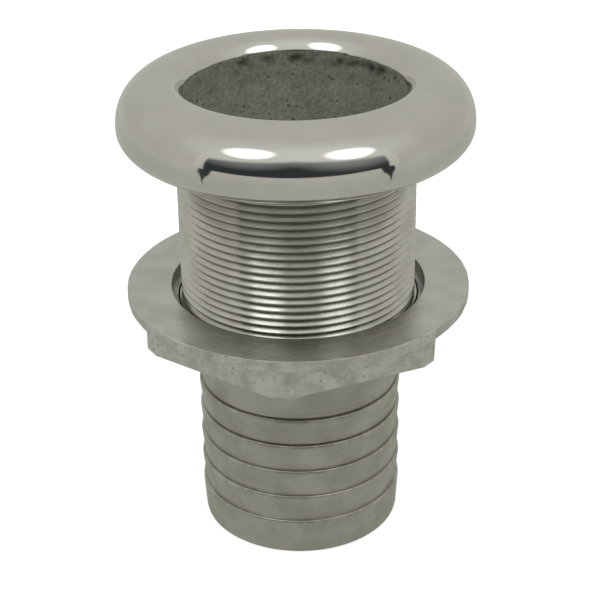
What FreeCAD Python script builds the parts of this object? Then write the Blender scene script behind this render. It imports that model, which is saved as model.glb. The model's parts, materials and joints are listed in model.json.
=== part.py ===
import FreeCAD, Part

import math
import os

from FreeCAD import Vector

# A through-hull fitting for a 51 mm hose, in millimetres.
# The origin is the centre of the flange's underside, where it seats on the hull.
# +Z runs along the axis to the outside of the hull; the hose tail points down.

# Hose tail
HOSE_BORE = 51.0  # inside diameter of the hose that is pushed on
ROOT_STRETCH = 0.3  # how far the plain tail stands outside the hose bore, per side
BARB_HEIGHT = 0.7  # step of a barb above the plain tail
BARB_PITCH = 7.6
BARB_COUNT = 5
LAST_BARB_LENGTH = 10.2
COLLAR_LENGTH = 13.5  # plain stretch between the thread and the first barb
TAIL_WALL = 3.0
TAIL_END_CHAMFER = 0.8

# Threaded shank
THREAD_STEP = 3.5  # thread crest above the barb tips, so the nut passes over the tail
THREAD_PITCH = 2.0
RELIEF_DEPTH = 0.25  # run-out under the flange, below the thread's root
RELIEF_LENGTH = 2.3  # plain shank under the flange
THREAD_BELOW_NUT = 1.3  # thread left below the nut where it stands
SHANK_WALL = 4.6  # thread crest to waterway
THROAT_LENGTH = 6.0  # cone from the shank's waterway to the tail's

# Mushroom flange
SEAT_WIDTH = 8.0  # flat ring around the shank that beds on the hull
FLANGE_EDGE = 6.2  # rounded edge outside the seat
WIDEST_HEIGHT = 5.4  # height of the flange's widest line
FLANGE_THICKNESS = 17.0
SHOULDER_POWER = 2.26  # 2 is an ellipse, more is fuller
MOUTH_STEP = 1.8  # mouth of the waterway wider than the shank's, per side
LIP_WIDTH = 4.5
LIP_DROP = 3.45  # how far the lip rolls down into the mouth
LIP_SLOPE = 60.0  # degrees below level where the lip meets the waterway
LIP_FULLNESS = 0.65  # of the curve between crest and mouth, 0 is a straight bevel

# Flanged nut
NUT_DROP = 38.4  # flange underside to nut face, the grip left open
NUT_HEIGHT = 12.3
RIM_THICKNESS = 3.2
RIM_FACE = 11.4  # width of the machined ring on the nut
RIM_CHAMFER = 0.4
RECESS_CLEARANCE = 2.5  # ring of air between the thread and the nut's rim
HEX_WALL = 6.0  # thread crest to flat
HEX_CORNER_ANGLE = -96.7  # degrees about +Z from +X
HEX_CORNER_CUT = 1.3  # how far the turned chamfer takes the corners in
THREAD_CLEARANCE = 0.15  # between the two threads, all round
SEAM_GAP = 0.05  # between the nut's rim and its hex, which are separate nodes

# Radii and heights that follow
tail_radius = HOSE_BORE / 2 + ROOT_STRETCH
barb_radius = tail_radius + BARB_HEIGHT
tail_bore = tail_radius - TAIL_WALL
thread_radius = barb_radius + THREAD_STEP
thread_depth = 17 / 24 * math.cos(math.radians(30)) * THREAD_PITCH
relief_radius = thread_radius - thread_depth - RELIEF_DEPTH
shank_bore = thread_radius - SHANK_WALL
seat_radius = thread_radius + SEAT_WIDTH
flange_radius = seat_radius + FLANGE_EDGE
mouth_radius = shank_bore + MOUTH_STEP
crest_radius = mouth_radius + LIP_WIDTH

nut_bottom = -(NUT_DROP + NUT_HEIGHT)
rim_bottom = -(NUT_DROP + RIM_THICKNESS)
hex_top = rim_bottom - SEAM_GAP
thread_end = nut_bottom - THREAD_BELOW_NUT
collar_end = thread_end - COLLAR_LENGTH
barb_tops = [collar_end - i * BARB_PITCH for i in range(BARB_COUNT)]
tail_end = barb_tops[-1] - LAST_BARB_LENGTH

recess_radius = thread_radius + RECESS_CLEARANCE
rim_radius = recess_radius + RIM_FACE
hex_flat = thread_radius + HEX_WALL
hex_corner = hex_flat / math.cos(math.radians(30))

SLOPE = math.tan(math.radians(30))  # half width gained per radius on a 60 degree thread
OVERCUT = 0.07 * THREAD_PITCH  # how far the thread cutter stands past the crest
SLEEVE_OVERLAP = 0.4  # how far the thread's sleeve reaches into the shank that it joins
MATCH = 0.0001  # how closely faces have to agree where a thread is trimmed


def lathe(points):
    """Turn a closed outline of (radius, height) points about the axis."""
    corners = [Vector(r, 0, z) for r, z in points]
    return turn(Part.makePolygon(corners + corners[:1]).Edges)


def turn(edges):
    face = Part.Face(Part.Wire(edges))
    return face.revolve(Vector(0, 0, 0), Vector(0, 0, 1), 360)


def quarter_curve(centre, start, end, power=2.0, steps=12):
    """Curve from start to end round a centre, on an ellipse raised to a power."""
    across, up = start, end
    if abs(start[0] - centre[0]) < abs(end[0] - centre[0]):
        across, up = end, start
    width, height = across[0] - centre[0], up[1] - centre[1]
    points = []
    for i in range(steps + 1):
        t = math.pi / 2 * i / steps
        points.append(Vector(centre[0] + width * math.cos(t) ** (2 / power), 0,
                             centre[1] + height * math.sin(t) ** (2 / power)))
    if across is end:
        points.reverse()
    level, upright = Vector(width, 0, 0), Vector(0, 0, height)
    curve = Part.BSplineCurve()
    if across is start:
        curve.interpolate(Points=points, InitialTangent=upright, FinalTangent=-level)
    else:
        curve.interpolate(Points=points, InitialTangent=level, FinalTangent=-upright)
    return curve.toShape()


def lip_curve(crest, mouth):
    """Curve that leaves the crest level and meets the mouth at the lip's slope."""
    reach = (crest[1] - mouth[1]) / math.tan(math.radians(LIP_SLOPE))
    after_crest = crest[0] - LIP_FULLNESS * (crest[0] - mouth[0] - reach)
    before_mouth = (mouth[0] + LIP_FULLNESS * reach, mouth[1] + LIP_FULLNESS * (crest[1] - mouth[1]))
    curve = Part.BezierCurve()
    curve.setPoles([Vector(r, 0, z) for r, z in (crest, (after_crest, crest[1]), before_mouth, mouth)])
    return curve.toShape()


def line(start, end):
    return Part.LineSegment(Vector(start[0], 0, start[1]), Vector(end[0], 0, end[1])).toShape()


def threaded_rod(bottom, top, growth=0.0):
    """A rod with the right-handed thread, whole between bottom and top and longer at both ends.

    growth thickens the ridge on every side, for the tool that cuts the nut's thread. The ridge
    passes +X at whole pitches below the seat, so rods of any length are in step.
    """
    inner = thread_radius - thread_depth + growth
    outer = thread_radius + growth + OVERCUT
    flank_shift = growth / math.cos(math.radians(30))
    near, far = [
        THREAD_PITCH * 7 / 16 + (radius - thread_radius) * SLOPE - flank_shift
        for radius in (inner, outer)
    ]
    corners = [(inner, -near), (outer, -far), (outer, far), (inner, near), (inner, -near)]
    profile = Part.makePolygon([Vector(r, 0, z) for r, z in corners])
    first = math.floor(bottom / THREAD_PITCH) - 0.5
    turns = math.ceil(top / THREAD_PITCH) + 0.5 - first
    path = Part.Wire(Part.makeHelix(THREAD_PITCH, turns * THREAD_PITCH, thread_radius))
    sweep = Part.BRepOffsetAPI.MakePipeShell(path)
    sweep.setBiNormalMode(Vector(0, 0, 1))
    sweep.add(profile)
    sweep.build()
    sweep.makeSolid()
    groove = sweep.shape()
    if groove.Volume < 0:
        groove.reverse()  # some lengths come out inside out
    groove.translate(Vector(0, 0, first * THREAD_PITCH))
    foot = (first - 1) * THREAD_PITCH
    rod = Part.makeCylinder(thread_radius + growth, (turns + 2) * THREAD_PITCH, Vector(0, 0, foot))
    return rod.cut(groove)


def body_outline():
    """Outline without the thread: up the outside, round the flange and down the waterway."""
    corners = [(tail_bore, tail_end), (tail_radius - TAIL_END_CHAMFER, tail_end)]
    corners.append((tail_radius, tail_end + TAIL_END_CHAMFER))
    for top in reversed(barb_tops):
        corners += [(barb_radius, top), (tail_radius, top)]
    corners += [
        (tail_radius, thread_end),
        (relief_radius, thread_end),
        (relief_radius, 0),
        (seat_radius, 0),
    ]
    edges = [line(a, b) for a, b in zip(corners, corners[1:])]
    widest = (flange_radius, WIDEST_HEIGHT)
    crest = (crest_radius, FLANGE_THICKNESS)
    mouth = (mouth_radius, FLANGE_THICKNESS - LIP_DROP)
    edges.append(quarter_curve((seat_radius, WIDEST_HEIGHT), corners[-1], widest))
    edges.append(quarter_curve((crest_radius, WIDEST_HEIGHT), widest, crest, SHOULDER_POWER))
    edges.append(lip_curve(crest, mouth))
    waterway = [
        mouth,
        (mouth_radius, MOUTH_STEP),
        (shank_bore, 0),
        (shank_bore, thread_end + THROAT_LENGTH),
        (tail_bore, thread_end),
        (tail_bore, tail_end),
    ]
    edges += [line(a, b) for a, b in zip(waterway, waterway[1:])]
    return edges


def fitting_body():
    """Flange, shank and hose tail: one casting with a thread cut on it."""
    sunk = relief_radius - SLEEVE_OVERLAP
    beyond = thread_radius + THREAD_PITCH
    sleeve = lathe([
        (sunk, thread_end),
        (relief_radius, thread_end),
        (beyond, thread_end + beyond - relief_radius),
        (beyond, -RELIEF_LENGTH),
        (sunk, -RELIEF_LENGTH),
    ])
    thread = threaded_rod(thread_end, 0).common([sleeve], MATCH)
    return turn(body_outline()).fuse(thread)


def nut_flange():
    """The nut's round rim, machined on the face that beds on the hull."""
    edge = rim_radius - RIM_CHAMFER
    return lathe([
        (recess_radius, rim_bottom),
        (edge, rim_bottom),
        (rim_radius, rim_bottom + RIM_CHAMFER),
        (rim_radius, -NUT_DROP - RIM_CHAMFER),
        (edge, -NUT_DROP),
        (recess_radius, -NUT_DROP),
    ])


def nut_hex():
    """The nut's hexagon, with the inside thread."""
    corners = []
    for i in range(7):
        angle = math.radians(HEX_CORNER_ANGLE + 60 * i)
        corners.append(Vector(hex_corner * math.cos(angle), hex_corner * math.sin(angle), nut_bottom))
    height = hex_top - nut_bottom
    prism = Part.Face(Part.makePolygon(corners)).extrude(Vector(0, 0, height))
    foot = hex_corner - HEX_CORNER_CUT
    lead = thread_radius + THREAD_CLEARANCE
    turned = lathe([
        (relief_radius, nut_bottom + lead - relief_radius),
        (lead, nut_bottom),
        (foot, nut_bottom),
        (foot + height, hex_top),
        (lead, hex_top),
        (relief_radius, hex_top - lead + relief_radius),
    ])
    blank = prism.common(turned)
    return blank.cut([threaded_rod(nut_bottom, hex_top, THREAD_CLEARANCE)], MATCH)


NODES = {
    "fitting_body": fitting_body,
    "nut_flange": nut_flange,
    "nut_hex": nut_hex,
}


def main():
    os.makedirs("parts", exist_ok=True)
    for name, make in NODES.items():
        shape = make()
        solids = shape.Solids
        print(name, "valid" if shape.isValid() else "NOT VALID", len(solids), "solid",
              round(shape.Volume / 1000, 2), "cm3", shape.BoundBox)
        solids[0].exportStep(f"parts/{name}.step")
    travel_up, travel_down = NUT_DROP, thread_end + THREAD_PITCH - hex_top
    print("nut travel up", travel_up, "down", round(travel_down, 3))
    print("pitch per radian, m", round(THREAD_PITCH / 1000 / (2 * math.pi), 9))


main()
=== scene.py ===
# %% [markdown]
# # A through-hull fitting in stainless steel
#
# A boat takes water in or lets it out through a fitting like this one. The polished flange sits outside the
# hull, the threaded shank passes through it, the flanged nut clamps from inside, and a hose is pushed over
# the barbed tail. The fitting is one casting, partly machined and partly polished, and the nut is another.
#
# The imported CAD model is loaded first. It says where everything is, so the sizes below are read from it,
# and every mesh is built in its frame: metres, +Z to the outside of the hull, and the origin at the
# centre of the flange's underside.

# %% Load the frame
import json
import math

import bmesh
import bpy
from mathutils import Matrix, Vector, noise


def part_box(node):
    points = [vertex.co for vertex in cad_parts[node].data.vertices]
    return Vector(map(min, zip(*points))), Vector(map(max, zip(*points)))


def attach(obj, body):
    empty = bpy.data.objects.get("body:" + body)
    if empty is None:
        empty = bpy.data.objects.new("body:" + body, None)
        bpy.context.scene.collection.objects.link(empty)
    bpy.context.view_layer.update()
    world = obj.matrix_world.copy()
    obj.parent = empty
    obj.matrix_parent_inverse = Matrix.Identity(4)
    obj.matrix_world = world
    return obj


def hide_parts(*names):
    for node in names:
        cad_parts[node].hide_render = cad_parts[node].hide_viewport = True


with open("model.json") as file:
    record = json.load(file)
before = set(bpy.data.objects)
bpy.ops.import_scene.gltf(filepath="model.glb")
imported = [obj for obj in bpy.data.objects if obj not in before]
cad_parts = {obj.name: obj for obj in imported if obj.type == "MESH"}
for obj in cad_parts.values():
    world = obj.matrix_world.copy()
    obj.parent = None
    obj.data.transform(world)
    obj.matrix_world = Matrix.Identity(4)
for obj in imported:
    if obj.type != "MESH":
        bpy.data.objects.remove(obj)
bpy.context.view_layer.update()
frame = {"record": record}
MM = 0.001

# %% [markdown]
# The sizes come in two kinds. Those that the CAD model has are read from its boxes, its mounts and its
# thread, so that the visible pieces fit it exactly. The rest are the small shapes that a functional model
# does without, such as the roll of the lip or the round on a cast corner.

# %% Sizes from the frame
body_low, body_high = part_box("fitting_body")
rim_low, rim_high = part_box("nut_flange")
hex_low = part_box("nut_hex")[0]
mounts = {mount["name"]: mount for mount in frame["record"]["mounts"]}
behaviour = frame["record"]["behaviour"]

FLANGE_RADIUS = body_high.x
FLANGE_TOP = body_high.z
TAIL_END = body_low.z
SHANK_BORE = mounts["waterway"]["dims"]["r_mm"] * MM
TAIL_BORE = mounts["tail_bore"]["dims"]["r_mm"] * MM
PITCH = 2 * math.pi * behaviour["couplings"][0]["ratio"]
RIM_RADIUS = rim_high.x
RIM_TOP, RIM_BOTTOM = rim_high.z, rim_low.z
HEX_BOTTOM = hex_low.z
print(f"flange {FLANGE_RADIUS / MM:.1f} mm, pitch {PITCH / MM:.3f} mm, tail end {TAIL_END / MM:.1f} mm")

# %% [markdown]
# The second kind of size is named here once. The flange is turned with a full, rolled shape, the shank
# carries the thread, and the tail has five barbs. Each name is a radius, a height or an angle of the real
# casting, so that a shape further down is a sentence about the fitting and not a row of bare numbers.

# %% Sizes of the casting
THREAD_RADIUS = 30 * MM
THREAD_ROOT = 28.77 * MM
SHANK_CORE = 28.4 * MM  # the casting under the thread
THREAD_END = -52 * MM
RELIEF = -2.3 * MM  # the thread stops short of the flange
MOUTH_RADIUS = 27.2 * MM
CREST_RADIUS = 31.7 * MM
SEAT_RADIUS = 38 * MM
WIDEST_HEIGHT = 5.4 * MM
LIP_DROP = 3.45 * MM
LIP_SLOPE = math.radians(60)
LIP_FULLNESS = 0.65
SHOULDER_POWER = 2.26
COLLAR_RADIUS = 25.8 * MM
BARB_RADIUS = 26.5 * MM
BARB_PITCH = 7.6 * MM
BARB_COUNT = 5
FIRST_BARB = THREAD_END - 13.5 * MM
BARB_TOPS = [FIRST_BARB - i * BARB_PITCH for i in range(BARB_COUNT)]
THROAT_TOP = THREAD_END + 6 * MM
ROUND_STEPS = 256  # steps of a full turn
print("barb tops in mm", [round(top / MM, 1) for top in BARB_TOPS])

# %% [markdown]
# Turned work is made by spinning an outline about the axis, as a lathe does. An outline is a list of
# (radius, height) points. Its round stretches come from two small helpers: one follows a quarter of an
# ellipse, or of a fuller curve where the power is above 2, and the other rounds a corner.

# %% Outline helpers
def quarter(centre, half_width, half_height, start, end, power=2.0, steps=16):
    """Points round a centre from one angle to another, in degrees from +radius towards +height."""
    points = []
    for i in range(steps + 1):
        turn = math.radians(start + (end - start) * i / steps)
        c, s = math.cos(turn), math.sin(turn)
        across = math.copysign(abs(c) ** (2 / power), c)
        up = math.copysign(abs(s) ** (2 / power), s)
        points.append((centre[0] + half_width * across, centre[1] + half_height * up))
    return points


def rolled(crest, mouth, steps=16):
    """Points of a lip that leaves its crest level and meets the mouth at its slope."""
    reach = (crest[1] - mouth[1]) / math.tan(LIP_SLOPE)
    level = Vector((crest[0] - LIP_FULLNESS * (crest[0] - mouth[0] - reach), crest[1]))
    steep = Vector((mouth[0] + LIP_FULLNESS * reach, mouth[1] + LIP_FULLNESS * (crest[1] - mouth[1])))
    a, b = Vector(crest), Vector(mouth)
    points = []
    for i in range(1, steps + 1):
        t = i / steps
        p = (1 - t) ** 3 * a + 3 * t * (1 - t) ** 2 * level + 3 * t * t * (1 - t) * steep + t ** 3 * b
        points.append((p.x, p.y))
    return points


def softened(corners, steps=3):
    """Corners as (radius, height, round), each round one replaced by an arc."""
    points = []
    count = len(corners)
    for i, (r, z, size) in enumerate(corners):
        here = Vector((r, z))
        before = Vector(corners[i - 1][:2]) - here
        after = Vector(corners[(i + 1) % count][:2]) - here
        if size <= 0:
            points.append((r, z))
            continue
        reach = min(size, before.length / 2, after.length / 2)
        a, b = here + before.normalized() * reach, here + after.normalized() * reach
        for k in range(steps + 1):
            t = k / steps
            p = (1 - t) ** 2 * a + 2 * t * (1 - t) * here + t ** 2 * b
            points.append((p.x, p.y))
    return points


print("a rounded corner has", len(softened([(1, 0, 0), (2, 0, 0.1), (2, 1, 0)])) - 2, "points")

# %% [markdown]
# The spin itself is one bmesh operator. It could also be done with a Screw modifier, but the operator
# leaves a plain mesh that can be cut and pushed afterwards. A full turn is merged onto its own start, and
# the normals are recalculated once the doubles are gone, so that every face points outwards. A thread
# uses the same helper with a climb. The second helper makes the object, picks a finish for each face,
# hangs the piece on the empty of the body that it rides on, and hides the CAD nodes that it replaces.

# %% Lathe and finish helpers
def spin_outline(bm, points, closed=True, climb=0.0, steps=ROUND_STEPS):
    """Spin an outline once about +Z, rising by climb on the way."""
    verts = [bm.verts.new((r, 0, z)) for r, z in points]
    following = verts[1:] + verts[:1] if closed else verts[1:]
    edges = [bm.edges.new(pair) for pair in zip(verts, following)]
    bmesh.ops.spin(bm, geom=verts + edges, cent=(0, 0, 0), axis=(0, 0, 1), dvec=(0, 0, climb / steps),
                   angle=2 * math.pi, steps=steps, use_merge=climb == 0, use_duplicate=False)
    bmesh.ops.remove_doubles(bm, verts=bm.verts[:], dist=1e-6)
    bmesh.ops.recalc_face_normals(bm, faces=bm.faces[:])


def finish_piece(name, bm, body, nodes, materials, pick=None, sharp=35):
    """Make the object, shade it, hang it on its body and hide the CAD nodes that it replaces."""
    mesh = bpy.data.meshes.new(name)
    for face in bm.faces:
        face.smooth = True
        if pick:
            face.material_index = pick(face.calc_center_median(), face.normal)
    open_edges = sum(not edge.is_manifold for edge in bm.edges)
    bm.to_mesh(mesh)
    bm.free()
    mesh.set_sharp_from_angle(angle=math.radians(sharp))
    for material in materials:
        mesh.materials.append(material)
    piece = bpy.data.objects.new(name, mesh)
    bpy.context.scene.collection.objects.link(piece)
    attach(piece, body)
    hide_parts(*nodes)
    print(name, len(mesh.polygons), "faces,", open_edges, "open edges, size in mm",
          [round(side / MM, 2) for side in piece.dimensions])
    return piece


# %% [markdown]
# ## Finishes
#
# Everything here is the same stainless steel, so the finishes differ in how they were worked: polished,
# cut, turned or left as cast. Three effects are shared. Cast skin is a grainy, blotchy surface with pits.
# Tool lines are the fine rings of a lathe. Edge glint is a painted highlight along the edge of a rim.
# Each is a node group, built once, that puts out masks, values and a height, and each material places it
# with its own numbers. The shader itself stays in the material.
#
# Nodes are wordy in Python, so a few helpers come first: one starts a group, one adds a Math node, one maps
# a range smoothly, and one adds a noise. A pattern reads Object coordinates, so it stays put on the metal
# when the nut moves.

# %% Node helpers
def new_group(name, inputs, outputs):
    """A shader node group with named float inputs, as (name, value), and float outputs."""
    group = bpy.data.node_groups.new(name, "ShaderNodeTree")
    for label, value in inputs:
        socket = group.interface.new_socket(label, in_out="INPUT", socket_type="NodeSocketFloat")
        socket.default_value = value
    for label in outputs:
        group.interface.new_socket(label, in_out="OUTPUT", socket_type="NodeSocketFloat")
    return group, group.nodes.new("NodeGroupInput"), group.nodes.new("NodeGroupOutput")


def maths(tree, operation, a, b=None, clamp=False):
    """A Math node on sockets or plain numbers; gives its output socket."""
    node = tree.nodes.new("ShaderNodeMath")
    node.operation = operation
    node.use_clamp = clamp
    for socket, value in zip(node.inputs, (a, b)):
        if isinstance(value, bpy.types.NodeSocket):
            tree.links.new(value, socket)
        elif value is not None:
            socket.default_value = value
    return node.outputs[0]


def mapped(tree, value, low, high, to_low=0.0, to_high=1.0):
    """Map a value smoothly from one range to another."""
    node = tree.nodes.new("ShaderNodeMapRange")
    node.interpolation_type = "SMOOTHSTEP"
    tree.links.new(value, node.inputs["Value"])
    limits = zip(("From Min", "From Max", "To Min", "To Max"), (low, high, to_low, to_high))
    for label, limit in limits:
        node.inputs[label].default_value = limit
    return node.outputs["Result"]


def grain(tree, vector, scale, detail=4.0, roughness=0.6):
    """A noise texture of so many waves per metre."""
    node = tree.nodes.new("ShaderNodeTexNoise")
    node.inputs["Detail"].default_value = detail
    node.inputs["Roughness"].default_value = roughness
    if isinstance(scale, bpy.types.NodeSocket):
        tree.links.new(scale, node.inputs["Scale"])
    else:
        node.inputs["Scale"].default_value = scale
    tree.links.new(vector, node.inputs["Vector"])
    return node.outputs["Fac"]


def object_place(tree):
    """The place of a point on its piece."""
    return tree.nodes.new("ShaderNodeTexCoord").outputs["Object"]


def from_axis(tree, x, y):
    """The length of two sides that are square to each other, such as the distance from the axis."""
    squares = maths(tree, "ADD", maths(tree, "MULTIPLY", x, x), maths(tree, "MULTIPLY", y, y))
    return maths(tree, "SQRT", squares)


# %% [markdown]
# Cast skin is the print of the mould: fine sand grain, larger blotches where the shell mould's wash was
# thicker, and a few pits. Two noises and a pattern of cells, each at its own size, give them. "Tone" is a
# mask for the colour and the roughness, "Height" goes to a Bump node, and "Pit" marks the pits.

# %% Cast skin group
def build_cast_skin():
    inputs = [("Grain size", 0.6), ("Blotch size", 8.0), ("Pits", 0.5)]
    group, given, result = new_group("Cast skin", inputs, ["Tone", "Height", "Pit"])
    place = object_place(group)
    fine_scale = maths(group, "DIVIDE", 1 / MM, given.outputs["Grain size"])
    wide_scale = maths(group, "DIVIDE", 1 / MM, given.outputs["Blotch size"])
    fine = grain(group, place, fine_scale, 5, 0.65)
    wide = grain(group, place, wide_scale, 3, 0.55)
    cells = group.nodes.new("ShaderNodeTexVoronoi")
    group.links.new(place, cells.inputs["Vector"])
    group.links.new(maths(group, "MULTIPLY", fine_scale, 0.45), cells.inputs["Scale"])
    sparse = maths(group, "MULTIPLY", mapped(group, cells.outputs["Distance"], 0.36, 0.12),
                   mapped(group, wide, 0.52, 0.62))
    pit = maths(group, "MULTIPLY", sparse, given.outputs["Pits"], clamp=True)
    tone = maths(group, "ADD", maths(group, "MULTIPLY", wide, 0.65), maths(group, "MULTIPLY", fine, 0.35))
    group.links.new(mapped(group, tone, 0.36, 0.64), result.inputs["Tone"])
    height = maths(group, "SUBTRACT", fine, maths(group, "MULTIPLY", pit, 1.4))
    group.links.new(height, result.inputs["Height"])
    group.links.new(pit, result.inputs["Pit"])
    return group


cast_skin = build_cast_skin()
print(cast_skin.name, [item.name for item in cast_skin.interface.items_tree])

# %% [markdown]
# A lathe leaves rings round the axis. On a turned wall they differ with height, and on a faced ring with
# radius, so the noise is stretched: it changes fast across the rings and slowly along them. The group
# takes how much of each counts, and reads the piece's own Object coordinates.

# %% Tool lines group
def build_tool_lines():
    inputs = [("Ring size", 0.3), ("On wall", 1.0), ("On face", 0.0)]
    group, given, result = new_group("Tool lines", inputs, ["Height", "Tone", "Radius"])
    split = group.nodes.new("ShaderNodeSeparateXYZ")
    place = object_place(group)
    group.links.new(place, split.inputs["Vector"])
    x, y, z = split.outputs
    radius = from_axis(group, x, y)
    wall = maths(group, "MULTIPLY", z, given.outputs["On wall"])
    face = maths(group, "MULTIPLY", radius, given.outputs["On face"])
    across = maths(group, "DIVIDE", maths(group, "ADD", wall, face), given.outputs["Ring size"])
    joined = group.nodes.new("ShaderNodeCombineXYZ")
    for label, along in (("X", x), ("Y", y)):
        group.links.new(maths(group, "MULTIPLY", along, 22.0), joined.inputs[label])
    group.links.new(maths(group, "MULTIPLY", across, 1 / MM), joined.inputs["Z"])
    lines = grain(group, joined.outputs["Vector"], 1.0, 3, 0.6)
    group.links.new(lines, result.inputs["Height"])
    group.links.new(mapped(group, lines, 0.35, 0.65), result.inputs["Tone"])
    group.links.new(radius, result.inputs["Radius"])
    return group


tool_lines = build_tool_lines()
print(tool_lines.name, len(tool_lines.nodes), "nodes")

# %% [markdown]
# Edge glint paints a highlight along an edge, so it needs to know where the edge is. All the edges that
# glint on this fitting are rings, so the group takes a ring's radius and height, and fades out with the
# distance from it. A noise breaks the painted line up into scattered glints.

# %% Edge glint group
def build_edge_glint():
    inputs = [("Ring radius", 40.0), ("Ring height", 0.0), ("Reach", 0.6), ("Amount", 0.5)]
    group, given, result = new_group("Edge glint", inputs, ["Mask"])
    split = group.nodes.new("ShaderNodeSeparateXYZ")
    place = object_place(group)
    group.links.new(place, split.inputs["Vector"])
    x, y, z = split.outputs
    radius = from_axis(group, x, y)
    aside = maths(group, "SUBTRACT", maths(group, "DIVIDE", radius, MM), given.outputs["Ring radius"])
    above = maths(group, "SUBTRACT", maths(group, "DIVIDE", z, MM), given.outputs["Ring height"])
    away = from_axis(group, aside, above)
    near = maths(group, "SUBTRACT", 1.0, maths(group, "DIVIDE", away, given.outputs["Reach"]), clamp=True)
    # Painted highlight, broken up into scattered glints.
    glint_scatter = mapped(group, grain(group, place, 0.22 / MM, 3, 0.6), 0.46, 0.58)
    mask = maths(group, "MULTIPLY", maths(group, "MULTIPLY", near, glint_scatter), given.outputs["Amount"], True)
    group.links.new(mask, result.inputs["Mask"])
    return group


edge_glint = build_edge_glint()
print(edge_glint.name, len(edge_glint.nodes), "nodes")

# %% [markdown]
# A metal's Base Color is what it reflects straight on. The materials below share four helpers: one starts a
# material, one places a group with its values, one mixes two colours by a mask, and one bumps the surface.
# Constants such as Metallic are set on the shader's own sockets. The others return sockets, so a material
# reads as a chain from a pattern to the shader.

# %% Material maker
def placed(tree, group, **values):
    """Place a node group, its inputs set by name with spaces written as underscores."""
    node = tree.nodes.new("ShaderNodeGroup")
    node.node_tree = group
    for label, value in values.items():
        node.inputs[label.replace("_", " ")].default_value = value
    return node


def mixed(tree, mask, low, high):
    """Mix two colours by a mask."""
    node = tree.nodes.new("ShaderNodeMix")
    node.data_type = "RGBA"
    tree.links.new(mask, node.inputs["Factor"])
    for socket, colour in ((node.inputs[6], low), (node.inputs[7], high)):
        if isinstance(colour, bpy.types.NodeSocket):
            tree.links.new(colour, socket)
        else:
            socket.default_value = (*colour, 1)
    return node.outputs[2]


def bumped(tree, height, distance, strength=1.0, under=None):
    """A Bump node over a height in so many metres."""
    node = tree.nodes.new("ShaderNodeBump")
    node.inputs["Strength"].default_value = strength
    node.inputs["Distance"].default_value = distance
    tree.links.new(height, node.inputs["Height"])
    if under:
        tree.links.new(under, node.inputs["Normal"])
    return node.outputs["Normal"]


def new_steel(name, metallic=1.0):
    """An empty steel material: gives it, its tree and its shader."""
    material = bpy.data.materials.new(name)
    material.use_nodes = True
    shader = material.node_tree.nodes["Principled BSDF"]
    shader.inputs["Metallic"].default_value = metallic
    return material, material.node_tree, shader


# %% [markdown]
# Polished steel is nearly a mirror. What keeps it from looking like computer chrome is a very slight
# waviness from the polishing wheel, a faint haze that comes and goes, and a warm grey colour.

# %% Polished steel
def make_polished():
    material, tree, shader = new_steel("polished_steel")
    place = object_place(tree)
    haze = mapped(tree, grain(tree, place, 0.09 / MM, 3, 0.5), 0.35, 0.7)
    wheel = placed(tree, tool_lines, Ring_size=0.12, On_wall=0.7, On_face=0.7)
    tree.links.new(mixed(tree, haze, (0.66, 0.65, 0.615), (0.7, 0.69, 0.66)), shader.inputs["Base Color"])
    tree.links.new(mapped(tree, haze, 0.0, 1.0, 0.045, 0.085), shader.inputs["Roughness"])
    wavy = bumped(tree, grain(tree, place, 0.05 / MM, 1, 0.4), 0.03 * MM, 0.35)
    tree.links.new(bumped(tree, wheel.outputs["Height"], 0.0012 * MM, 0.25, wavy), shader.inputs["Normal"])
    return material


polished_steel = make_polished()
print(polished_steel.name, len(polished_steel.node_tree.nodes), "nodes")

# %% [markdown]
# The thread is cut, not polished. Its flanks shine, but the tool has left fine lines along them, so a
# lamp's reflection spreads across the lines and stays narrow along them. Very fine bump could do that, but
# it would need millions of lines, so the shader's Anisotropic does it, with a tangent that runs round the
# axis. The roots are painted darker, as painted shade in the grooves.

# %% Cut thread
def stretched(tree, shader, amount):
    """Spread reflections across the rings of a turned surface."""
    shader.inputs["Anisotropic"].default_value = amount
    shader.inputs["Anisotropic Rotation"].default_value = 0.25
    tangent = tree.nodes.new("ShaderNodeTangent")
    tangent.direction_type = "RADIAL"
    tangent.axis = "Z"
    tree.links.new(tangent.outputs["Tangent"], shader.inputs["Tangent"])


def make_thread_steel():
    material, tree, shader = new_steel("cut_thread")
    stretched(tree, shader, 0.9)
    skin = placed(tree, cast_skin, Grain_size=0.5, Blotch_size=7.0, Pits=0.2)
    lines = placed(tree, tool_lines, Ring_size=0.09, On_wall=1.0, On_face=0.6)
    colour = mixed(tree, skin.outputs["Tone"], (0.58, 0.57, 0.52), (0.69, 0.68, 0.63))
    # Painted shade: the colour darkens towards the thread's roots, where the grooves are in shade.
    out_of_root_shade = mapped(tree, lines.outputs["Radius"], THREAD_ROOT + 0.02 * MM, THREAD_ROOT + 0.3 * MM)
    tree.links.new(mixed(tree, out_of_root_shade, (0.24, 0.23, 0.2), colour), shader.inputs["Base Color"])
    tree.links.new(mapped(tree, lines.outputs["Tone"], 0.0, 1.0, 0.17, 0.24), shader.inputs["Roughness"])
    tree.links.new(bumped(tree, lines.outputs["Height"], 0.008 * MM, 0.3), shader.inputs["Normal"])
    return material


thread_steel = make_thread_steel()
print(thread_steel.name, len(thread_steel.node_tree.nodes), "nodes")
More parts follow.
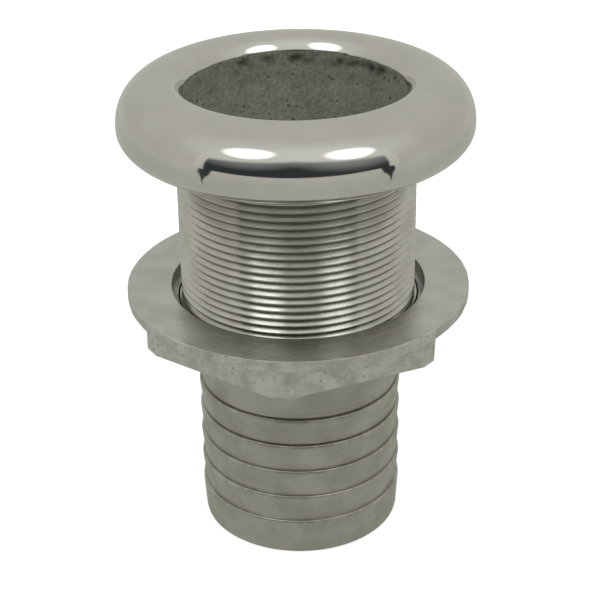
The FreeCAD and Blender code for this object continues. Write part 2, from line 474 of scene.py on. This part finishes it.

# %% [markdown]
# The tail was turned roughly and then tumbled: satin, brownish grey, with faint rings and blotches. The
# barbs' edges get a painted highlight, a lighter colour along each edge.

# %% Satin tail
def make_tail_steel():
    material, tree, shader = new_steel("satin_tail")
    skin = placed(tree, cast_skin, Grain_size=0.55, Blotch_size=9.0, Pits=0.35)
    lines = placed(tree, tool_lines, Ring_size=0.28, On_wall=1.0, On_face=0.3)
    blotchy = mixed(tree, skin.outputs["Tone"], (0.4, 0.385, 0.34), (0.51, 0.495, 0.45))
    ringed = mixed(tree, maths(tree, "MULTIPLY", lines.outputs["Tone"], 0.35), blotchy, (0.54, 0.525, 0.48))
    colour = ringed
    # Painted highlight: a lighter colour along each barb's edge, where its ledge catches the light.
    for top in BARB_TOPS:
        edge = placed(tree, edge_glint, Ring_radius=BARB_RADIUS / MM, Ring_height=top / MM - 0.2,
                      Reach=0.9, Amount=0.6)
        colour = mixed(tree, edge.outputs["Mask"], colour, (0.66, 0.65, 0.6))
    tree.links.new(colour, shader.inputs["Base Color"])
    tree.links.new(mapped(tree, skin.outputs["Tone"], 0.0, 1.0, 0.44, 0.33), shader.inputs["Roughness"])
    grainy = bumped(tree, skin.outputs["Height"], 0.05 * MM, 0.5)
    tree.links.new(bumped(tree, lines.outputs["Height"], 0.02 * MM, 0.4, grainy), shader.inputs["Normal"])
    return material


tail_steel = make_tail_steel()
print(tail_steel.name, "with", BARB_COUNT, "painted edge highlights")

# %% [markdown]
# The waterway is left as it came out of the mould: dark, gritty and pitted. The grit is partly real shape,
# added to the mesh further down, and partly bump. So rough a scale hardly mirrors anything, so it is made
# as a dull surface and not as a metal. Where the mesh is torn open, an attribute of its own paints shade
# there.

# %% Rough waterway
def make_waterway_skin():
    material, tree, shader = new_steel("rough_waterway", 0.0)
    skin = placed(tree, cast_skin, Grain_size=0.8, Blotch_size=7.0, Pits=0.8)
    sand = mapped(tree, grain(tree, object_place(tree), 1.1 / MM, 3, 0.6), 0.36, 0.66)
    colour = mixed(tree, skin.outputs["Tone"], (0.25, 0.245, 0.2), (0.36, 0.35, 0.3))
    colour = mixed(tree, maths(tree, "MULTIPLY", sand, 0.45), colour, (0.55, 0.54, 0.48))
    colour = mixed(tree, skin.outputs["Pit"], colour, (0.08, 0.08, 0.06))
    # Painted shade: the mesh's own attribute darkens the torn dents under the lip.
    depth = tree.nodes.new("ShaderNodeAttribute")
    depth.attribute_name = "hollow_shade"
    colour = mixed(tree, maths(tree, "MULTIPLY", depth.outputs["Fac"], 0.8), colour, (0.05, 0.052, 0.042))
    tree.links.new(colour, shader.inputs["Base Color"])
    tree.links.new(mapped(tree, sand, 0.0, 1.0, 0.75, 0.55), shader.inputs["Roughness"])
    tree.links.new(bumped(tree, skin.outputs["Height"], 0.3 * MM, 0.8), shader.inputs["Normal"])
    return material


waterway_skin = make_waterway_skin()
print(waterway_skin.name, len(waterway_skin.node_tree.nodes), "nodes")

# %% [markdown]
# The nut has two finishes. Its face was skimmed on a lathe, and the rings of that cut stretch a reflection
# towards the axis, which is what Anisotropic with a radial tangent does. Its rim and hexagon are as cast.

# %% Nut finishes
def make_faced_steel():
    material, tree, shader = new_steel("faced_nut")
    stretched(tree, shader, 0.9)
    skin = placed(tree, cast_skin, Grain_size=0.5, Blotch_size=8.0, Pits=0.15)
    lines = placed(tree, tool_lines, Ring_size=0.2, On_wall=0.0, On_face=1.0)
    colour = mixed(tree, skin.outputs["Tone"], (0.57, 0.565, 0.54), (0.68, 0.675, 0.65))
    tree.links.new(colour, shader.inputs["Base Color"])
    tree.links.new(mapped(tree, lines.outputs["Tone"], 0.0, 1.0, 0.22, 0.3), shader.inputs["Roughness"])
    tree.links.new(bumped(tree, lines.outputs["Height"], 0.01 * MM, 0.3), shader.inputs["Normal"])
    return material


def make_nut_skin():
    material, tree, shader = new_steel("cast_nut")
    skin = placed(tree, cast_skin, Grain_size=0.7, Blotch_size=5.0, Pits=0.5)
    colour = mixed(tree, skin.outputs["Tone"], (0.54, 0.535, 0.505), (0.72, 0.715, 0.69))
    colour = mixed(tree, skin.outputs["Pit"], colour, (0.15, 0.14, 0.12))
    # Painted highlight: scattered glints on the rim's top outer edge.
    rim_glint = placed(tree, edge_glint, Ring_radius=RIM_RADIUS / MM - 0.1, Ring_height=RIM_TOP / MM - 0.1,
                     Reach=0.4, Amount=0.5)
    colour = mixed(tree, rim_glint.outputs["Mask"], colour, (0.9, 0.88, 0.82))
    tree.links.new(colour, shader.inputs["Base Color"])
    tree.links.new(mapped(tree, skin.outputs["Tone"], 0.0, 1.0, 0.56, 0.44), shader.inputs["Roughness"])
    tree.links.new(bumped(tree, skin.outputs["Height"], 0.12 * MM, 0.7), shader.inputs["Normal"])
    return material


faced_steel = make_faced_steel()
nut_skin = make_nut_skin()
print("finishes:", sorted(material.name for material in bpy.data.materials))

# %% [markdown]
# ## The casting
#
# One outline runs up the outside from the tail, round the flange and down the waterway, and is spun in one
# go, so that the casting is one closed skin. The flange's shoulder is fuller than an ellipse, which the
# power of the curve gives. Each barb is a sharp step that faces the flange, with a fine groove at its root.

# %% Casting outline
LIP_BASE = FLANGE_TOP - LIP_DROP
ROOT_GROOVES = [0.5 * MM, 0.42 * MM, 0.26 * MM, 0.2 * MM, 0.15 * MM]  # the first ones are deepest
ROW_GAP = 0.6 * MM
MOUTH_TAPER = 12 * MM  # height over which the mouth narrows to the shank's bore
CLOSE_ROWS_END = -16 * MM  # below this the bore is out of sight


def flange_outline():
    """From the seat round the edge and over the crown to the lip."""
    under = quarter((SEAT_RADIUS, WIDEST_HEIGHT), FLANGE_RADIUS - SEAT_RADIUS, WIDEST_HEIGHT,
                    -90, 0, steps=14)
    crown = quarter((CREST_RADIUS, WIDEST_HEIGHT), FLANGE_RADIUS - CREST_RADIUS, FLANGE_TOP - WIDEST_HEIGHT,
                    0, 90, SHOULDER_POWER, steps=30)
    return under + crown[1:] + rolled((CREST_RADIUS, FLANGE_TOP), (MOUTH_RADIUS, LIP_BASE))


def waterway_outline():
    """From under the lip down to the tail's end, with close rows where the bore can be seen."""
    rows = [(MOUTH_RADIUS, LIP_BASE - 0.15 * MM)]
    depth = LIP_BASE - ROW_GAP
    while depth > CLOSE_ROWS_END:
        blend = min(max(depth / MOUTH_TAPER + 0.5, 0), 1)
        rows.append((SHANK_BORE + (MOUTH_RADIUS - SHANK_BORE) * blend, depth))
        depth -= ROW_GAP
    rows += [(SHANK_BORE, -20 * MM - i * 4 * MM) for i in range(6)]
    rows += [(SHANK_BORE, THROAT_TOP), (TAIL_BORE, THREAD_END)]
    rows += [(TAIL_BORE, THREAD_END - 6 * MM * i) for i in range(1, 9)]
    return rows + softened([(TAIL_BORE, TAIL_END + 2 * MM, 0), (TAIL_BORE, TAIL_END, 0.5 * MM),
                            (COLLAR_RADIUS, TAIL_END, 0)])[1:-1]


def tail_outline():
    """From the tail's end up the barbs and the collar to the flange's seat."""
    corners = [(TAIL_BORE, TAIL_END, 0), (COLLAR_RADIUS + 0.1 * MM, TAIL_END, 1.1 * MM)]
    for top, groove in reversed(list(zip(BARB_TOPS, ROOT_GROOVES))):
        corners += [
            (BARB_RADIUS - 0.02 * MM, top - 0.75 * MM, 0.6 * MM),
            (BARB_RADIUS - 0.28 * MM, top - 0.02 * MM, 0.2 * MM),
            (COLLAR_RADIUS - groove, top + 0.02 * MM, 0.06 * MM),
            (COLLAR_RADIUS, top + 0.45 * MM, 0.2 * MM),
        ]
    corners += [
        (COLLAR_RADIUS, THREAD_END, 0.3 * MM),
        (SHANK_CORE, THREAD_END, 0),
        (SHANK_CORE, 0, 0.4 * MM),
        (SEAT_RADIUS, 0, 0),
    ]
    return softened(corners)[1:-1]


outline = tail_outline() + flange_outline() + waterway_outline()
print("the casting's outline has", len(outline), "points")

# %% [markdown]
# The sand core of the waterway leaves real lumps, so the rows of the bore are pushed in and out by a
# noise, most where the mould was roughest, just under the lip at the back. A Displace modifier could push
# them too, but here each point also notes how torn it is, and the finish paints shade into the dents from
# that. The faces are then shared out between three finishes by where they are.

# %% Make the casting
LUMP_SIZE = 2.4 * MM
LUMP_DEPTH = 0.14 * MM
TEAR_SIZE = 4.5 * MM
TEAR_DEPTH = 0.9 * MM


def roughen_waterway(bm):
    """Push the bore's points in and out, none of them past the lip, and note the painted shade that each
    dent gets.
    """
    hollow_shade = bm.verts.layers.float.new("hollow_shade")
    for vert in bm.verts:
        radius = math.hypot(vert.co.x, vert.co.y)
        if radius > MOUTH_RADIUS + 0.5 * MM or not TAIL_END + 3 * MM <= vert.co.z <= LIP_BASE - 0.5 * MM:
            continue
        if vert.co.z < THREAD_END + MM and radius > TAIL_BORE + 0.5 * MM:
            continue
        lumps = noise.fractal(vert.co / LUMP_SIZE, 0.6, 2.1, 4)
        below = (LIP_BASE - vert.co.z) / MM
        under_lip = min(max(below - 0.7, 0), 1) - max(0, (below - 2.4) / 2.5)
        at_back = min(max(2.5 * vert.co.y / radius - 0.5, 0), 1)
        torn = max(noise.fractal(vert.co / TEAR_SIZE, 0.8, 2.2, 3) + 0.02, 0) * max(under_lip, 0) * at_back
        push = LUMP_DEPTH * lumps + TEAR_DEPTH * min(torn, 1)
        # How much painted shade this dent gets.
        vert[hollow_shade] = min(torn * 1.7, 1)
        vert.co.x *= 1 + push / radius
        vert.co.y *= 1 + push / radius


def casting_finish(centre, normal):
    """0 polished, 1 satin tail, 2 rough waterway."""
    radius = math.hypot(centre.x, centre.y)
    outward = normal.x * centre.x + normal.y * centre.y
    if centre.z > LIP_BASE - 0.01 * MM or (centre.z > -0.01 * MM and radius > SHANK_CORE):
        return 0
    if centre.z > 0:
        return 2
    return 2 if outward < 0 and radius < SHANK_CORE - MM else 1


def make_casting():
    bm = bmesh.new()
    spin_outline(bm, outline)
    roughen_waterway(bm)
    finish_piece("casting", bm, "fitting", ["fitting_body"],
                 [polished_steel, tail_steel, waterway_skin], casting_finish)


make_casting()

# %% [markdown]
# ## The threads
#
# A thread is the same outline repeated every pitch, and spun while it climbs one pitch a turn. The last
# column then lands on the first column one pitch up, and merging the doubles closes the helix. The ends
# are trimmed flat by bisect_plane, and their rims are drawn to a plain ring and bridged, so that the thread
# is a closed sleeve. It reaches into the wall that it stands on.

# %% Thread helpers
def thread_outline(bottom, top, growth):
    """A 60 degree thread's outline from below bottom to above top, its ridges thickened by growth."""
    shift = growth / math.cos(math.radians(30))
    crest, root = THREAD_RADIUS + growth, THREAD_ROOT + growth
    slope = math.tan(math.radians(30))
    half = PITCH / 16 + shift
    foot = half + (crest - root) * slope
    ease = 0.07 * MM
    ridge = [
        (root + ease * 0.9, -foot + ease * 0.2),
        (crest - ease, -half - ease * 0.6),
        (crest, -half + ease),
        (crest, half - ease),
        (crest - ease, half + ease * 0.6),
        (root + ease * 0.9, foot - ease * 0.2),
        (root, foot + ease),
        (root, PITCH - foot - ease),
    ]
    first, last = math.floor(bottom / PITCH) - 2, math.ceil(top / PITCH) + 1
    return [(r, z + k * PITCH) for k in range(first, last + 1) for r, z in ridge]


def trim(bm, height, above):
    """Cut the mesh flat at a height, and take away what is above it, or below."""
    bmesh.ops.bisect_plane(bm, geom=bm.verts[:] + bm.edges[:] + bm.faces[:], dist=1e-7,
                           plane_co=(0, 0, height), plane_no=(0, 0, 1),
                           clear_outer=above, clear_inner=not above)
    return [edge for edge in bm.edges if edge.is_boundary
            and all(abs(vert.co.z - height) < 1e-6 for vert in edge.verts)]


def thread_sleeve(bottom, top, back_radius, growth=0.0):
    """A closed sleeve with a thread on one side and a plain ring of back_radius on the other."""
    bm = bmesh.new()
    spin_outline(bm, thread_outline(bottom, top, growth), closed=False, climb=PITCH)
    inner_rims = []
    for height, above in ((top, True), (bottom, False)):
        rim = trim(bm, height, above)
        drawn = bmesh.ops.extrude_edge_only(bm, edges=rim)["geom"]
        for vert in (item for item in drawn if isinstance(item, bmesh.types.BMVert)):
            reach = math.hypot(vert.co.x, vert.co.y)
            vert.co.x *= back_radius / reach
            vert.co.y *= back_radius / reach
        inner_rims += [edge for edge in bm.edges if edge.is_boundary and edge not in inner_rims
                       and all(abs(vert.co.z - height) < 1e-6 for vert in edge.verts)]
    bmesh.ops.bridge_loops(bm, edges=inner_rims)
    bmesh.ops.recalc_face_normals(bm, faces=bm.faces[:])
    return bm


print("the shank's thread has", round((RELIEF - THREAD_END) / PITCH, 1), "turns")

# %% Shank thread
finish_piece(
    "shank_thread", thread_sleeve(THREAD_END, RELIEF, SHANK_CORE - 0.5 * MM), "fitting", ["fitting_body"],
    [thread_steel], sharp=75)

# %% [markdown]
# ## The nut
#
# The nut is one casting, but its rim only travels while its hexagon also turns, so the two are separate
# pieces that meet at the step under the rim. The rim is a plain ring, so it is spun. A cast edge is never
# quite true, so its points are then drawn in a little by a noise. They only go inwards, which keeps the rim
# inside its CAD size.

# %% Nut rim
RECESS_RADIUS = 32.5 * MM
RIM_WAVE = 0.16 * MM


def make_rim():
    edge = softened([
        (RECESS_RADIUS, RIM_BOTTOM, 0),
        (RIM_RADIUS, RIM_BOTTOM, 0.8 * MM),
        (RIM_RADIUS, RIM_TOP - 0.02 * MM, 0.2 * MM),
        (RECESS_RADIUS, RIM_TOP, 0.25 * MM),
    ])
    bm = bmesh.new()
    spin_outline(bm, edge)
    for vert in bm.verts:
        radius = math.hypot(vert.co.x, vert.co.y)
        if radius > RIM_RADIUS - MM:
            wave = noise.fractal(vert.co / (9 * MM), 0.8, 2.0, 4)
            vert.co.x *= 1 - RIM_WAVE * abs(wave) / radius
            vert.co.y *= 1 - RIM_WAVE * abs(wave) / radius
    finish_piece("nut_rim", bm, "nut_rim", ["nut_flange"], [faced_steel, nut_skin],
                 lambda centre, normal: 0 if normal.z > 0.9 or centre.z > RIM_TOP - 0.02 * MM else 1)


make_rim()

# %% [markdown]
# The hexagon could be a six-sided cone, but its corners would then be straight. A real one is turned first,
# and its flats are cut after. So it starts as a turned ring with the chamfer on it, and six cuts by
# bisect_plane take the flats off, as a mill would. That leaves the curved corners that a chamfered nut
# has. A small Bevel modifier rounds the edges, as casting does.

# %% Nut hexagon
HEX_FLAT = 36 * MM
HEX_CORNER = HEX_FLAT / math.cos(math.radians(30))
HEX_CORNER_ANGLE = -96.7  # degrees about +Z from +X
HEX_CHAMFER = 1.3 * MM
HEX_BORE = THREAD_RADIUS + 0.45 * MM
CORNER_ROUND = 0.45 * MM


def make_hexagon():
    bm = bmesh.new()
    spin_outline(bm, [
        (HEX_BORE, HEX_BOTTOM),
        (HEX_CORNER - HEX_CHAMFER, HEX_BOTTOM),
        (HEX_CORNER + HEX_CHAMFER, HEX_BOTTOM + 2 * HEX_CHAMFER),
        (HEX_CORNER + HEX_CHAMFER, RIM_BOTTOM),
        (HEX_BORE, RIM_BOTTOM),
    ])
    for i in range(6):
        angle = math.radians(HEX_CORNER_ANGLE + 30 + 60 * i)
        out = Vector((math.cos(angle), math.sin(angle), 0))
        cut = bmesh.ops.bisect_plane(bm, geom=bm.verts[:] + bm.edges[:] + bm.faces[:], dist=1e-7,
                                     plane_co=out * HEX_FLAT, plane_no=out, clear_outer=True)
        rim_edges = [item for item in cut["geom_cut"] if isinstance(item, bmesh.types.BMEdge)]
        bmesh.ops.edgeloop_fill(bm, edges=rim_edges)
    bmesh.ops.recalc_face_normals(bm, faces=bm.faces[:])
    piece = finish_piece("nut_hexagon", bm, "nut", ["nut_hex"], [nut_skin])
    rounding = piece.modifiers.new("cast corners", "BEVEL")
    rounding.limit_method = "ANGLE"
    rounding.angle_limit = math.radians(28)
    rounding.width = CORNER_ROUND
    rounding.segments = 3
    rounding.harden_normals = True


make_hexagon()

# %% [markdown]
# The nut's thread fits round the shank's with a clearance. It is the same sleeve, grown outwards by that
# much all along its outline and backed by a ring that reaches into the hexagon, so the two always match.

# %% Nut thread
THREAD_CLEARANCE = 0.15 * MM
finish_piece(
    "nut_thread", thread_sleeve(HEX_BOTTOM, RIM_BOTTOM, HEX_BORE + 0.5 * MM, THREAD_CLEARANCE), "nut",
    ["nut_hex"], [thread_steel], sharp=75)

# %% [markdown]
# ## Studio
#
# Polished steel shows the room more than itself, so the room matters. The fitting stands in a pale tent
# that is open at the front. Two lamps stand either side of the camera, just above the opening. In the
# flange they show as two bright patches over a dark band, and the tent as the warm grey round it.
# The tent could be built of panels, but a world that works its colour out from direction has no edges,
# needs no mesh, and gives the same soft light everywhere. Angles below are in degrees.

# %% World
LAMPS = ((-40, 52), (42, 46))  # azimuth from the front, and elevation
LAMP_EDGE, LAMP_CORE = 15.5, 7.5  # from the middle of a lamp
GLOW_EDGE, GLOW_CORE = 45, 10
OPENING_SIDE = 58


def towards(azimuth, elevation):
    """Direction from an azimuth, 0 at the front and positive to the right, and an elevation."""
    around, up = math.radians(azimuth), math.radians(elevation)
    return Vector((math.sin(around) * math.cos(up), -math.cos(around) * math.cos(up), math.sin(up)))


def degrees(tree, operation, a, b=None):
    """An angle from a Math node, in degrees."""
    return maths(tree, "MULTIPLY", maths(tree, operation, a, b), 180 / math.pi)


def make_tent():
    world = bpy.data.worlds.new("tent")
    world.use_nodes = True
    tree = world.node_tree
    background = tree.nodes["Background"]
    split = tree.nodes.new("ShaderNodeSeparateXYZ")
    direction = tree.nodes.new("ShaderNodeTexCoord").outputs["Generated"]
    tree.links.new(direction, split.inputs["Vector"])
    x, y, z = split.outputs
    aside = maths(tree, "ABSOLUTE", degrees(tree, "ARCTAN2", x, maths(tree, "MULTIPLY", y, -1.0)))
    height = degrees(tree, "ARCSINE", z)
    lifted = maths(tree, "ADD", height, maths(tree, "MULTIPLY", aside, 0.25))
    within = mapped(tree, aside, OPENING_SIDE + 1, OPENING_SIDE - 1)
    opening = maths(tree, "MULTIPLY", within, mapped(tree, height, -3.0, -2.0))
    opening = maths(tree, "MULTIPLY", opening, mapped(tree, lifted, 43, 35))
    panel = maths(tree, "MULTIPLY", mapped(tree, aside, 66, 64), mapped(tree, height, 72, 66))
    tent = mixed(tree, mapped(tree, z, 0.1, 0.95), (0.54, 0.535, 0.49), (0.58, 0.575, 0.545))
    colour = mixed(tree, maths(tree, "MULTIPLY", panel, 0.6), tent, (0.68, 0.675, 0.62))
    colour = mixed(tree, opening, colour, (0.035, 0.045, 0.045))
    for azimuth, elevation in LAMPS:
        aim = tree.nodes.new("ShaderNodeVectorMath")
        aim.operation = "DOT_PRODUCT"
        tree.links.new(direction, aim.inputs[0])
        aim.inputs[1].default_value = towards(azimuth, elevation)
        angles = (LAMP_EDGE, LAMP_CORE, GLOW_EDGE, GLOW_CORE)
        lamp_edge, lamp_core, glow_edge, glow_core = [math.cos(math.radians(angle)) for angle in angles]
        spot = mapped(tree, aim.outputs["Value"], lamp_edge, lamp_core)
        glow = mapped(tree, aim.outputs["Value"], glow_edge, glow_core)
        colour = mixed(tree, maths(tree, "MULTIPLY", glow, 0.3), colour, (0.95, 0.95, 0.92))
        colour = mixed(tree, spot, colour, (2.3, 2.3, 2.25))
    tree.links.new(colour, background.inputs["Color"])
    bpy.context.scene.world = world


make_tent()
print("lamps", [tuple(round(side, 2) for side in towards(*lamp)) for lamp in LAMPS])

# %% [markdown]
# The floor has two jobs. Seen directly it is plain, pale and evenly lit. Mirrored in the steel it glows
# with the tent's own grey, with a painted shadow that darkens it close by, and a dark strip either side
# where the opening's edges come down to the floor. A Light Path node tells the two apart, which keeps the
# strips out of sight.

# %% Floor
STRIP_START = (62 * MM, -38 * MM)  # where each strip starts, beside and in front of the axis
STRIP_BEARING = 56.0  # degrees from straight ahead


def mirrored_floor(tree, place):
    """The floor's colour in reflections."""
    split = tree.nodes.new("ShaderNodeSeparateXYZ")
    tree.links.new(place, split.inputs["Vector"])
    x, y, z = split.outputs
    across = maths(tree, "SUBTRACT", maths(tree, "ABSOLUTE", x), STRIP_START[0])
    forward = maths(tree, "MULTIPLY", maths(tree, "SUBTRACT", y, STRIP_START[1]), -1.0)
    turned = maths(tree, "SUBTRACT", degrees(tree, "ARCTAN2", across, forward), STRIP_BEARING)
    width = mapped(tree, forward, 60 * MM, 400 * MM, 0.6, 5.0)
    strip = mapped(tree, maths(tree, "SUBTRACT", width, maths(tree, "ABSOLUTE", turned)), 0.0, 1.0)
    # Painted shadow: the mirrored floor is darker close to the fitting.
    shadow_fade = mapped(tree, from_axis(tree, x, y), 0.15, 0.9)
    plain = mixed(tree, shadow_fade, (0.48, 0.485, 0.435), (0.55, 0.545, 0.5))
    return mixed(tree, strip, plain, (0.04, 0.05, 0.05))


def make_floor():
    bm = bmesh.new()
    bmesh.ops.create_grid(bm, x_segments=1, y_segments=1, size=6)
    bmesh.ops.translate(bm, verts=bm.verts[:], vec=(0, 0, TAIL_END - 0.02 * MM))
    mesh = bpy.data.meshes.new("floor")
    bm.to_mesh(mesh)
    bm.free()
    material = bpy.data.materials.new("pale_floor")
    material.use_nodes = True
    tree = material.node_tree
    tree.nodes.clear()
    seen = tree.nodes.new("ShaderNodeBsdfDiffuse")
    seen.inputs["Color"].default_value = (0.93, 0.93, 0.92, 1)
    glow = tree.nodes.new("ShaderNodeEmission")
    glow.inputs["Strength"].default_value = 0.62
    lit = tree.nodes.new("ShaderNodeAddShader")
    tree.links.new(seen.outputs[0], lit.inputs[0])
    tree.links.new(glow.outputs[0], lit.inputs[1])
    mirrored = tree.nodes.new("ShaderNodeEmission")
    tree.links.new(mirrored_floor(tree, object_place(tree)), mirrored.inputs["Color"])
    choice = tree.nodes.new("ShaderNodeMixShader")
    tree.links.new(tree.nodes.new("ShaderNodeLightPath").outputs["Is Camera Ray"], choice.inputs[0])
    tree.links.new(mirrored.outputs[0], choice.inputs[1])
    tree.links.new(lit.outputs[0], choice.inputs[2])
    tree.links.new(choice.outputs[0], tree.nodes.new("ShaderNodeOutputMaterial").inputs["Surface"])
    mesh.materials.append(material)
    floor = bpy.data.objects.new("floor", mesh)
    bpy.context.scene.collection.objects.link(floor)


make_floor()
print("floor at", round((TAIL_END - 0.02 * MM) / MM, 2), "mm")

# %% [markdown]
# ## Camera
#
# The camera looks down at 27 degrees from in front, with a long lens. It leans by less than a degree, as a
# hand-held one does. A Track To constraint would aim it, but could not lean it, so its axes are built
# directly: back along the view, right level, up square to both.

# %% Camera
ELEVATION, LEAN = math.radians(27.4), math.radians(-0.84)
LENS = 99.4  # mm, on a sensor 36 mm wide
DISTANCE = 430.1 * MM
AIM = Vector((0.4 * MM, 0, -44.8 * MM))


def make_camera():
    back = Vector((0, -math.cos(ELEVATION), math.sin(ELEVATION)))
    right, up = Vector((1, 0, 0)), Vector((0, math.sin(ELEVATION), math.cos(ELEVATION)))
    leaning_right = right * math.cos(LEAN) + up * math.sin(LEAN)
    leaning_up = up * math.cos(LEAN) - right * math.sin(LEAN)
    data = bpy.data.cameras.new("camera")
    data.sensor_width = 36
    data.lens = LENS
    data.clip_start = 0.01
    camera = bpy.data.objects.new("camera", data)
    axes = Matrix((leaning_right, leaning_up, back)).transposed().to_4x4()
    camera.matrix_world = Matrix.Translation(AIM + back * DISTANCE) @ axes
    bpy.context.scene.collection.objects.link(camera)
    bpy.context.scene.camera = camera


make_camera()
bpy.context.scene.view_settings.view_transform = "Standard"
print("lens", LENS, "mm, distance", round(DISTANCE / MM, 1), "mm")
